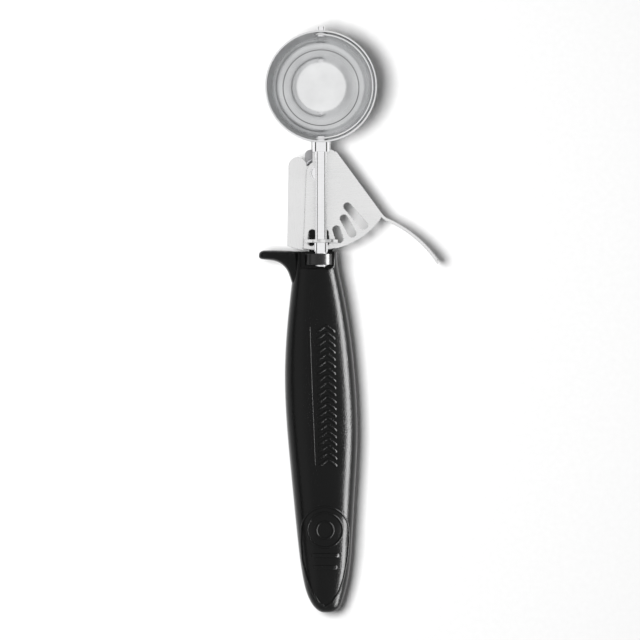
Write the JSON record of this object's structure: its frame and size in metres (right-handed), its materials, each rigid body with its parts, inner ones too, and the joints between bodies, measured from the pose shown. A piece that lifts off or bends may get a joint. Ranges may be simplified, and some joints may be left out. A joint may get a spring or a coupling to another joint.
{
  "type": "lever ice cream scoop",
  "caption": "Hand scoop with a round metal bowl, a scraper blade turned by a toothed spindle, a slotted thumb lever and a moulded handle with a finger rest.",
  "frame": {"origin": "on the flat land under the handle, on the spindle's centre line and level with the bowl's lowest point", "axes": "+Y along the spindle towards the bowl, +Z out of the bowl's mouth, +X towards the thumb lever"},
  "size_m": [0.0779, 0.252, 0.0311],
  "materials": {
    "bowl_steel": "polished",
    "sheet_steel": "satin",
    "turned_steel": "polished",
    "spring_steel": "satin",
    "black_handle": "satin",
    "black_strap": "gloss"
  },
  "bodies": {
    "root": {"bowl": "bowl_steel", "tip_rivet": "turned_steel", "tip_washer": "turned_steel", "front_collar": "turned_steel", "bowl_bracket": "sheet_steel", "bracket_rivets": "turned_steel", "frame_plate": "sheet_steel", "guard_plate": "sheet_steel", "tongue_rivets": "turned_steel", "lever_rivet": "turned_steel", "lever_washer": "turned_steel", "spring_bush": "turned_steel", "return_spring": "spring_steel", "spring_post": "turned_steel", "handle": "black_handle", "bearing_strap": "black_strap"},
    "lever": {"thumb_lever": "sheet_steel"},
    "spindle_set": {"spindle": "turned_steel", "pinion": "sheet_steel", "pinion_sleeve": "turned_steel", "spindle_retainer": "turned_steel", "scraper_blade": "bowl_steel"}
  },
  "joints": [
    {"name": "lever_swing", "type": "hinge", "parent": "root", "child": "lever", "pos_m": [-0.00107, 0.132, 0.0182], "axis": [0, 0, -1], "range_deg": [0, 35], "stiffness_Nm_per_rad": 0.12, "springref_deg": -20.05, "deforming": ["return_spring"]},
    {"name": "spindle_turn", "type": "hinge", "parent": "root", "child": "spindle_set", "pos_m": [0, 0.12, 0.024], "axis": [0, 1, 0], "range_deg": [-0.5, 180.5]}
  ],
  "couplings": [
    {"joint": "spindle_turn", "follows": "lever_swing", "ratio": 5.1429}
  ]
}
